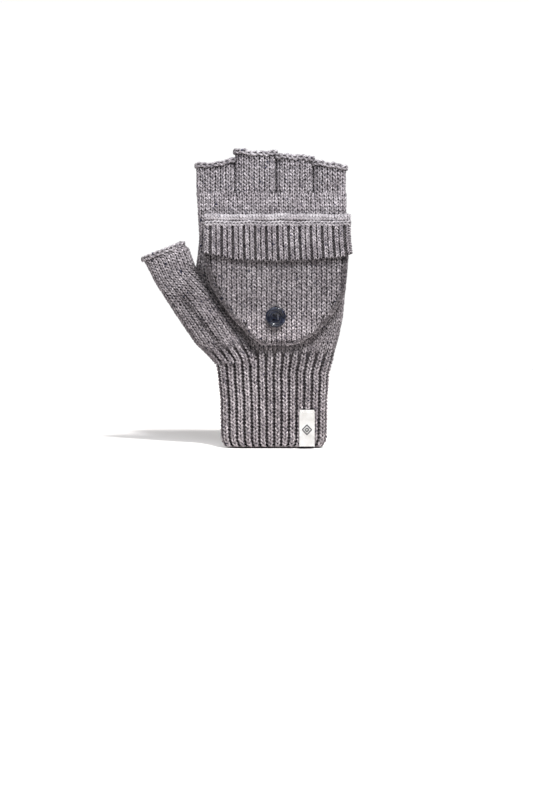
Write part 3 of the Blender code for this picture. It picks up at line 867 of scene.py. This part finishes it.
def build_slit_shade_tube(name, x, top):
    """Painted shade: a dark tube deep between two finger stubs."""
    z = np.linspace(HAND_TOP - 3, top - 2.6, 12)
    yarn = YarnMesh(8)
    yarn.add(points_at(x, 0.0, z), FRONTWARDS, 1.0)
    piece = yarn.build(name, SHADE_SHEET)
    return piece


stubs += [build_slit_shade_tube("slit_lining_%d" % (k + 1), x, min(STUBS[k][5], STUBS[k + 1][3]))
          for k, x in enumerate(SLITS)]


def build_thumb_hem():
    top, below = THUMB.points[-1], THUMB.points[-6]
    rim = top + unit(top.mean(0) - below.mean(0)) * 1.5
    rim = rim.mean(0) + (rim - rim.mean(0)) * 1.03
    return build_hem("thumb_hem", rim[::2], THUMB_WALES)


thumb_hem = build_thumb_hem()


# ---------------------------------------------------------------- flap

FLAP_LOW = 64.6
FLAP_TOP = 141.6
TIP_HEIGHT = 5.4
EDGE_ROUND = 1.25
EDGE_WALES = 5
FRONT_SHARE = 0.40
FLAP_INSET = 0.6
FLAP_ROW = 1.1


def flap_sides(height):
    """x of the pouch's two sides at a height."""
    return between(FLAP_LEFT, height) + FLAP_INSET, between(FLAP_RIGHT, height) - FLAP_INSET


def flap_rows():
    """Rows of the pouch from its tip up, spaced as on the open pouch, so the tip has cloth to open with."""
    tip = np.linspace(0, math.pi / 2, 12)
    heights = list(FLAP_LOW + TIP_HEIGHT * (1 - np.cos(tip)))[:-1]
    fulls = list(np.sin(tip))[:-1]
    upper = np.arange(FLAP_LOW + TIP_HEIGHT, FLAP_TOP + 1, FLAP_ROW)
    heights += list(upper)
    fulls += [1.0] * len(upper)
    half = (BACK_LAYER - FRONT_LAYER) / 2
    centre = (BACK_LAYER + FRONT_LAYER) / 2
    rows = []
    share = np.arange(240) / 240
    for height, full in zip(heights, fulls):
        left, right = flap_sides(height)
        depth = half * max(full, 0.05)
        side = (1 - 2 * FRONT_SHARE) / 2
        start, end = side / 2, side / 2 + FRONT_SHARE
        x = np.interp(share, [start, end, end + side, end + side + FRONT_SHARE],
                      [left + EDGE_ROUND, right - EDGE_ROUND, right - EDGE_ROUND, left + EDGE_ROUND])
        y = np.full_like(x, -1.0)
        y[share > end + side / 2] = 1.0
        turn = np.clip((share - end) / side, 0, 1)
        on_right = (share > end) & (share < end + side)
        x[on_right] += EDGE_ROUND * np.sin(math.pi * turn[on_right])
        y[on_right] = -np.cos(math.pi * turn[on_right])
        last = end + side + FRONT_SHARE
        on_left = (share > last) | (share < start)
        turn = np.mod(share - last, 1.0) / side
        x[on_left] = left + EDGE_ROUND - EDGE_ROUND * np.sin(math.pi * turn[on_left])
        y[on_left] = np.cos(math.pi * turn[on_left])
        rows.append(points_at(x, centre + depth * y, height))
    return rows, np.array(heights)


flap_points, FLAP_HEIGHTS = flap_rows()
FLAP = Fabric(flap_points)


def flap_across(u, marks, heights):
    """Share of the way round the pouch of a place counted in wales, with upright columns on the front."""
    front = len(marks) - 1
    around = np.mod(u, 2 * front + 2 * EDGE_WALES)
    left, right = flap_sides(heights)
    left, right = left + EDGE_ROUND, right - EDGE_ROUND
    side = (1 - 2 * FRONT_SHARE) / 2
    start = side / 2

    def layer(flat):
        x = np.interp(flat, np.arange(front + 1), marks)
        return np.clip((x - left) / (right - left), 0, 1)

    on_front = start + FRONT_SHARE * layer(around)
    on_right = start + FRONT_SHARE + side * (around - front) / EDGE_WALES
    on_back = start + FRONT_SHARE + side + FRONT_SHARE * (1 - layer(2 * front + EDGE_WALES - around))
    on_left = start + 2 * FRONT_SHARE + side + side * (around - 2 * front - EDGE_WALES) / EDGE_WALES
    return np.select([around < front, around < front + EDGE_WALES, around < 2 * front + EDGE_WALES],
                     [on_front, on_right, on_back], on_left)


def in_buttonhole(points):
    low, high, half = BUTTONHOLE
    inside = (np.abs(points[:, 0] - BUTTON[0]) < half) & (points[:, 2] > low) & (points[:, 2] < high)
    return inside & (points[:, 1] < (BACK_LAYER + FRONT_LAYER) / 2)


def flap_edge_shade(points):
    """Painted shade: the turned edge of the pouch is drawn darker, as if in its own shadow."""
    x, height = points[:, 0], points[:, 2]
    sideways = np.minimum(x - between(FLAP_LEFT, height), between(FLAP_RIGHT, height) - x)
    away = np.minimum(0.75 * sideways, height - FLAP_LOW)
    return 0.72 * np.exp(-((np.maximum(away, 0) - 1.1) / 1.5) ** 2)


def build_flap():
    rows = len(FLAP_HEIGHTS) - 1
    count = int(round(rows * FLAP_ROW / COURSE))
    step = 1.0 / count
    wobble = Wobble()
    front_yarn, back_yarn, edge_yarn = YarnMesh(), YarnMesh(), YarnMesh()
    for row in range(count):
        level = (row + 0.5) * step
        height = float(np.interp(level * rows, np.arange(rows + 1), FLAP_HEIGHTS))
        left, right = flap_sides(height)
        left, right = left + EDGE_ROUND, right - EDGE_ROUND
        first, last = math.ceil(left / WALE + 0.5), math.floor(right / WALE - 0.5)
        marks = np.concatenate([[left], np.arange(first, last + 1) * WALE, [right]])
        across_front = len(marks) - 1
        wales = 2 * across_front + 2 * EDGE_WALES
        u, v, out_by, thick, lift = stitches(wales, 10, True, row, wobble, DEPTH, True, 0.0, 2)
        up = np.clip(level + v * step, 0, 1)
        z = np.interp(up * rows, np.arange(rows + 1), FLAP_HEIGHTS)
        points, normal = FLAP.at(flap_across(u, marks, z), up)
        line = points + normal * out_by[:, None]
        around = np.mod(u, wales)
        flat = height > FLAP_LOW + TIP_HEIGHT
        on_front = (around < across_front) & flat
        on_back = (around >= across_front + EDGE_WALES) & (around < wales - EDGE_WALES) & flat
        on_edge = ~(on_front | on_back)
        on_edge = on_edge | np.roll(on_edge, 1) | np.roll(on_edge, -1)
        for yarn, part in ((front_yarn, on_front), (back_yarn, on_back), (edge_yarn, on_edge)):
            part = part & ~in_buttonhole(line)
            lay(yarn, line, normal, thick * YARN, lift - flap_edge_shade(line), part, True)
    front = front_yarn.build("flap_front_knit", FLAP_WOOL)
    back = back_yarn.build("flap_back_knit", FLAP_WOOL)
    edge = edge_yarn.build("flap_edge_knit", FLAP_WOOL)
    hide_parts("flap_front_layer")
    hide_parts("flap_back_layer")
    # A painted-shade sheet inside the pouch.
    shade_sheet = sheet_mesh("flap_pouch_lining", FLAP, 0.12, SHADE_SHEET, 0.03, 1.0, keep=lambda p: ~in_buttonhole(p),
                        columns=150, rows=70, inset=0.45)
    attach(front, "flap_front")
    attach(back, "flap")
    bridge(edge)
    bridge(shade_sheet)


def bridge(piece):
    """The piece joins the two layers; its place is baked into its mesh."""
    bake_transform(piece)


build_flap()


BAND_WALES = 39


def band_low(x):
    return between(BAND_EDGE, x) + 0.8


def band_rows(behind=0.0):
    """The ribbed opening of the flap, folded down over it: rows from its free edge to the fold.

    behind is 1 for the reverse of the fabric, whose ridges lie behind the furrows of the front.
    """
    rows = []
    for share in np.linspace(0, 1, 24):
        left = BAND_SIDES[0] + 0.9
        right = BAND_SIDES[1] - 0.9 + 1.3 * (1 - share) ** 2
        x = np.linspace(left, right, 160)
        low = band_low(x)
        z = low + (BAND_TOP - 1.6 - low) * share
        side = np.abs((2 * x - left - right) / (right - left))
        curl = 2.2 * np.clip((side - 0.94) / 0.06, 0, 1) ** 2
        flare = 0.7 * (1 - share) ** 2 + 0.15 * np.sin(x * 0.17 + 1.0) * (1 - share)
        wales = (x - left) / (right - left) * BAND_WALES
        ridge = behind * (1.45 + 0.35 * np.cos(TURN * (wales - 2.5) / 3))
        rows.append(points_at(x, BAND_LAYER + 0.25 + curl - flare + ridge, z))
    return rows


def build_band():
    fabric = Fabric(band_rows(), ring=False)
    yarn = YarnMesh(6)
    levels = spread(12)
    knit(yarn, fabric, levels, BAND_WALES, rib=0.8, repeat=3, radius=0.48, depth=0.66, samples=12,
         face_down=True)
    piece = yarn.build("rib_band_knit", WOOL)
    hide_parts("flap_rib_band")
    shade_sheet = sheet_mesh("rib_band_lining", fabric, 0.12, SHADE_SHEET, columns=110, rows=24, inset=0.95)
    reverse = YarnMesh(5)
    behind = Fabric(band_rows(behind=1.0)[::-1], ring=False)
    knit(reverse, behind, levels, BAND_WALES, radius=0.5, depth=0.3, samples=9)
    back = reverse.build("rib_band_reverse_knit", WOOL)
    x = np.linspace(BAND_SIDES[0] + 0.8, BAND_SIDES[1] - 0.4, 90)
    path = points_at(x, BAND_LAYER + 0.1, BAND_TOP - 1.3 + 0.3 * np.sin(x * 0.31))
    chain = knit_cord("band_top_chain", path, 1.1, 38, 2, 0.58, LIT_EDGE_WOOL, depth=0.32)
    for each in [piece, shade_sheet, back] + chain:
        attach(each, "rib_band")


build_band()


def build_roll():
    """The fold at the knuckles: smooth knitting rolled into a cylinder, with its wales going round it."""
    y, z, radius = ROLL
    x = np.linspace(ROLL_SPAN[0] + 0.3, ROLL_SPAN[1] - 0.3, 180)
    ends = np.clip(np.minimum(x - ROLL_SPAN[0], ROLL_SPAN[1] - x) / 2.0 + 0.3, 0, 1) ** 0.5
    swell = (radius - 0.55) * (1 + 0.08 * np.sin(x * 0.31) + 0.07 * np.sin(x * 0.83 + 1)) * ends
    middle_y = y + 0.12 * np.sin(x * 0.4)
    middle_z = z - 0.25 + 0.25 * np.sin(x * 0.11 + 0.6) + 0.15 * np.sin(x * 0.47)
    rows = [points_at(x, middle_y - swell * np.cos(turn), middle_z + swell * np.sin(turn))
            for turn in np.linspace(-math.pi, math.pi, 25)]
    yarn = YarnMesh(6)
    knit(yarn, Fabric(rows, ring=False), spread(6), 46, radius=0.5, depth=0.5)
    piece = yarn.build("fold_roll_knit", LIT_EDGE_WOOL)
    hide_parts("flap_fold_roll")
    core = YarnMesh(8)
    core.add(points_at(x, middle_y, middle_z), FRONTWARDS, swell * 0.85)
    inner = core.build("fold_roll_knit_core", CORE_WOOL)
    for each in (piece, inner):
        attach(each, "flap_front")


build_roll()


def build_seam():
    """The line of crochet that joins the flap to the back of the hand, on the hinge line."""
    y, z = HINGE
    path = points_at(np.linspace(-42.0, 44.0, 90), y, z)
    made = knit_cord("knuckle_seam_chain", path, 0.5, 34, 3, 0.45, WOOL)
    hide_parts("knuckle_seam")
    for each in made:
        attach(each, "glove")


build_seam()


def build_buttonhole():
    """Buttonhole stitches round the slit in the flap."""
    low, high, half = BUTTONHOLE
    middle = (low + high) / 2
    straight = (high - low) / 2 - half
    angle = np.linspace(0, TURN, 240, endpoint=False)
    reach = half + 0.45
    up = np.sign(np.sin(angle)) * straight + reach * np.sin(angle)
    ring = np.stack([reach * np.cos(angle), up], -1)
    ring = np.concatenate([ring, ring[:1]])
    length = travelled(ring)
    even = np.linspace(0, length[-1], 40, endpoint=False)
    x, z = (np.interp(even, length, ring[:, k]) for k in range(2))
    spots = points_at(BUTTON[0] + x, FRONT_LAYER - 0.8, middle + z)
    out = unit(points_at(x, 0.0, z - np.clip(z, -straight, straight)))
    yarn = YarnMesh(6)
    turn = np.linspace(0, math.pi, 9)[:, None]
    for spot, side in zip(spots, out):
        facing = side * np.cos(turn) + FRONTWARDS * np.sin(turn)
        arc = spot + side * (0.95 * np.cos(turn) + 0.25) + FRONTWARDS * (0.6 * np.sin(turn) - 0.3)
        yarn.add(arc, facing, 0.36)
    piece = yarn.build("buttonhole_stitches", LIT_EDGE_WOOL)
    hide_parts("buttonhole_edging")
    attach(piece, "flap_front")


build_buttonhole()


# ---------------------------------------------------------------- button

BUTTON_RADIUS = 6.4
BUTTON_RIM = 0.95
HOLE_RADIUS = 0.62
HOLE_OFFSET = 1.38
BUTTON_BACK, BUTTON_FRONT = (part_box("button")[side][1] / MM for side in (1, 0))


def button_profile():
    """Radius and depth from the middle of the back, over the rim, to the middle of the dished front."""
    front, back = BUTTON_FRONT, BUTTON_BACK
    outer = [(0.0, back), (4.0, back), (5.2, back - 0.12), (5.9, back - 0.5), (6.3, back - 1.0)]
    turn = np.radians(np.linspace(0, 155, 16))
    middle = BUTTON_RADIUS - BUTTON_RIM
    rim = list(zip(middle + BUTTON_RIM * np.cos(turn), front + BUTTON_RIM - BUTTON_RIM * np.sin(turn)))
    dish = [(4.3, 0.80), (4.0, 0.94), (3.7, 1.0), (3.4, 0.97), (3.15, 0.90), (2.9, 0.92), (2.6, 1.02),
            (1.4, 1.08), (0.0, 1.1)]
    return outer + rim + [(radius, front + sunk) for radius, sunk in dish]


def lathe(name, profile, segments, material):
    """A solid turned about the button's axis."""
    x, z = BUTTON
    inner = profile[1:-1]
    angle = np.arange(segments) * TURN / segments
    vertices = [(x, profile[0][1], z)]
    for radius, y in inner:
        vertices += [(x + radius * math.cos(a), y, z + radius * math.sin(a)) for a in angle]
    vertices.append((x, profile[-1][1], z))
    faces = []
    for k in range(segments):
        after = (k + 1) % segments
        faces.append((0, 1 + k, 1 + after))
        for row in range(len(inner) - 1):
            low, high = 1 + row * segments, 1 + (row + 1) * segments
            faces.append((low + k, high + k, high + after, low + after))
        last = 1 + (len(inner) - 1) * segments
        faces.append((last + k, len(vertices) - 1, last + after))
    mesh = bpy.data.meshes.new(name)
    mesh.from_pydata([tuple(c * MM for c in v) for v in vertices], [], faces)
    return place(name, mesh, material)


def build_button():
    button = lathe("button_turned", button_profile(), 96, RESIN)
    holes = YarnMesh(24)
    for side_x in (-1, 1):
        for side_z in (-1, 1):
            y = np.linspace(BUTTON_FRONT - 1, BUTTON_BACK + 1, 3)
            line = points_at(BUTTON[0] + side_x * HOLE_OFFSET, y, BUTTON[1] + side_z * HOLE_OFFSET)
            holes.add(line, SIDEWAYS, HOLE_RADIUS)
    cutter = holes.build("hole_cutter", RESIN)
    drill = button.modifiers.new("holes", "BOOLEAN")
    drill.operation = "DIFFERENCE"
    drill.solver = "EXACT"
    drill.object = cutter
    drilled = bpy.data.meshes.new_from_object(button.evaluated_get(bpy.context.evaluated_depsgraph_get()))
    button.modifiers.clear()
    button.data = drilled
    bpy.data.objects.remove(cutter)
    for layer in list(drilled.uv_layers):
        drilled.uv_layers.remove(layer)
    drilled.shade_smooth()
    drilled.set_sharp_from_angle(angle=math.radians(38))
    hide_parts("button")
    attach(button, "button")


build_button()


def strand(yarn, line, radius, plies=3):
    """A length of sewing thread: plies twisted round the line."""
    length = travelled(line)
    tangent = unit(np.gradient(line, axis=0))
    first = unit(np.cross(tangent, [1.0, 0.13, 0.07]))
    second = np.cross(tangent, first)
    for ply in range(plies):
        angle = (length * 1.9 / radius * 0.25 + ply * TURN / plies)[:, None]
        out = first * np.cos(angle) + second * np.sin(angle)
        yarn.add(line + out * radius * 0.5, out, radius * 0.56)


def build_button_thread():
    """Two passes of thread over the front, down through the holes."""
    face = BUTTON_FRONT + 1.05
    yarn = YarnMesh(6)
    for offset in (-0.17, 0.17):
        turn = np.linspace(-1, 1, 41)
        z = HOLE_OFFSET * np.clip(turn * 1.18, -1, 1) + 0.12 * np.sign(turn)
        sink = 1.3 * np.clip((np.abs(turn) - 0.80) / 0.2, 0, 1)
        y = face - 0.36 - 0.10 * np.cos(turn * 1.4) + sink
        strand(yarn, points_at(BUTTON[0] + HOLE_OFFSET + offset, y, BUTTON[1] + z), 0.2)
    piece = yarn.build("button_sewing_thread", DARK_THREAD)
    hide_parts("button_thread")
    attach(piece, "button")


build_button_thread()


def build_button_shank():
    """Thread wound into a short stalk between the fabric and the button."""
    low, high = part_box("button_shank")
    y = np.linspace(high[1] / MM, low[1] / MM, 60)
    yarn = YarnMesh(6)
    yarn.add(points_at(BUTTON[0], y, BUTTON[1]), SIDEWAYS, 0.72)
    turns = (y[0] - y) / (y[0] - y[-1]) * TURN * 7
    fine = np.linspace(0, len(y) - 1, 420)
    turns, along = np.interp(fine, np.arange(len(y)), turns), np.interp(fine, np.arange(len(y)), y)
    out = points_at(np.cos(turns), 0.0, np.sin(turns))
    yarn.add(points_at(BUTTON[0], along, BUTTON[1]) + out * 0.8, out, 0.28)
    piece = yarn.build("button_wound_shank", DARK_THREAD)
    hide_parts("button_shank")
    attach(piece, "glove")


build_button_shank()


# ---------------------------------------------------------------- label

def build_label():
    low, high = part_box("label_tab")
    y_middle = (low[1] + high[1]) / 2 / MM
    bottom, top = low[2] / MM, high[2] / MM
    x = np.linspace(-LABEL_WIDTH / 2, LABEL_WIDTH / 2, 25)
    rows = []
    for height in np.linspace(bottom, top, 49):
        bulge = 0.22 * math.sin(height * 0.5) + 0.12 * np.sin(x * 0.6 + height * 0.2)
        narrow = 1 - 0.05 * smooth(top - 3, top, height)
        rows.append(points_at(LABEL_X + x * narrow, y_middle - 0.35 + bulge, height))
    fabric = Fabric(rows, ring=False)
    piece = sheet_mesh("label_tape", fabric, 0.28, TAPE, columns=40, rows=80)
    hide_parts("label_tab")
    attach(piece, "glove")
    return fabric


LABEL = build_label()


def label_outline(name, corners):
    """A closed line of embroidery on the label, from corners given as shares of its width and height."""
    yarn = YarnMesh(6)
    corners = np.array(corners + corners[:1], float)
    for a, b in zip(corners[:-1], corners[1:]):
        share = np.linspace(0, 1, 9)[:, None]
        spots = a + (b - a) * share
        points, normal = LABEL.at(spots[:, 0], spots[:, 1])
        yarn.add(points + normal * 0.33, normal, 0.34)
    piece = yarn.build(name, LABEL_THREAD)
    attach(piece, "glove")


label_outline("label_diamond", [(0.5, 0.33), (0.80, 0.46), (0.5, 0.59), (0.20, 0.46)])
label_outline("label_inner_diamond", [(0.5, 0.41), (0.62, 0.46), (0.5, 0.51), (0.38, 0.46)])


def build_label_stitches():
    """The row of small stitches that holds the label's top edge."""
    yarn = YarnMesh(6)
    count = 6
    for k in range(count):
        across = np.linspace(0.08 + 0.84 * k / count, 0.08 + 0.84 * (k + 0.62) / count, 7)
        points, normal = LABEL.at(across, np.full(7, 0.935))
        bow = 0.22 * np.sin(np.linspace(0, math.pi, 7))[:, None]
        yarn.add(points + normal * (0.22 + bow), normal, 0.15)
    piece = yarn.build("label_top_stitches", PALE_THREAD)
    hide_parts("label_stitches")
    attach(piece, "glove")


build_label_stitches()


# ---------------------------------------------------------------- bodies

for piece in cuff + palm + thumb + thumb_hem:
    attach(piece, "glove")
for piece in knuckles + stubs:
    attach(piece, "glove")
    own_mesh(piece)


# ---------------------------------------------------------------- studio

def build_floor():
    mesh = bpy.data.meshes.new("floor")
    reach = 0.9
    corners = [(x * reach, y * reach, 0) for x, y in ((-1, -1), (1, -1), (1, 1), (-1, 1))]
    mesh.from_pydata(corners, [], [(0, 1, 2, 3)])
    material, tree, shader = new_material("floor_paper")
    shader.inputs["Base Color"].default_value = (0.83, 0.80, 0.785, 1)
    shader.inputs["Roughness"].default_value = 0.85
    floor = place("floor", mesh, material)
    floor.location.z = -0.0012


def add_light(name, kind, energy):
    data = bpy.data.lights.new(name, kind)
    data.energy = energy
    light = bpy.data.objects.new(name, data)
    bpy.context.scene.collection.objects.link(light)
    return light


def area_light(name, place_at, aim, width, height, watts):
    light = add_light(name, "AREA", watts)
    light.data.shape = "RECTANGLE"
    light.data.size, light.data.size_y = width, height
    light.data.color = (0.90, 0.95, 1.0)
    light.location = place_at
    light.rotation_euler = (Vector(aim) - Vector(place_at)).to_track_quat("-Z", "Y").to_euler()


def sun_light(name, direction, strength, angle):
    """A broad light from a direction, which lights the floor evenly."""
    light = add_light(name, "SUN", strength)
    light.data.angle = math.radians(angle)
    light.rotation_euler = Vector(direction).to_track_quat("Z", "Y").to_euler()


def build_world():
    world = bpy.data.worlds.new("studio")
    bpy.context.scene.world = world
    world.use_nodes = True
    tree = world.node_tree
    background = tree.nodes["Background"]
    background.inputs["Color"].default_value = (1, 1, 1, 1)
    seen = add_node(tree, "ShaderNodeLightPath").outputs["Is Camera Ray"]
    strength = add_node(tree, "ShaderNodeMapRange", {"Value": seen, "To Min": 0.19, "To Max": 1.02})
    tree.links.new(strength.outputs[0], background.inputs["Strength"])


def build_camera():
    data = bpy.data.cameras.new("camera")
    camera = bpy.data.objects.new("camera", data)
    bpy.context.scene.collection.objects.link(camera)
    data.lens = 85
    data.sensor_width = 36
    data.sensor_fit = "VERTICAL"
    data.sensor_height = 36
    aim = Vector((-0.0047, -0.008, 0.0297))
    distance, elevation = 1.179, math.radians(4)
    camera.location = aim + distance * Vector((0, -math.cos(elevation), math.sin(elevation)))
    camera.rotation_euler = (aim - camera.location).to_track_quat("-Z", "Y").to_euler()
    data.clip_start = 0.01
    bpy.context.scene.camera = camera


build_floor()
build_world()
sun_light("key", (0.32, -0.70, 1.0), 4.45, 8)
sun_light("back", (-0.55, 0.80, 0.75), 1.7, 35)
area_light("top", (0.05, -0.40, 0.52), (0, 0, 0.19), 0.8, 0.2, 4.0)
build_camera()
bpy.context.scene.view_settings.view_transform = "Standard"
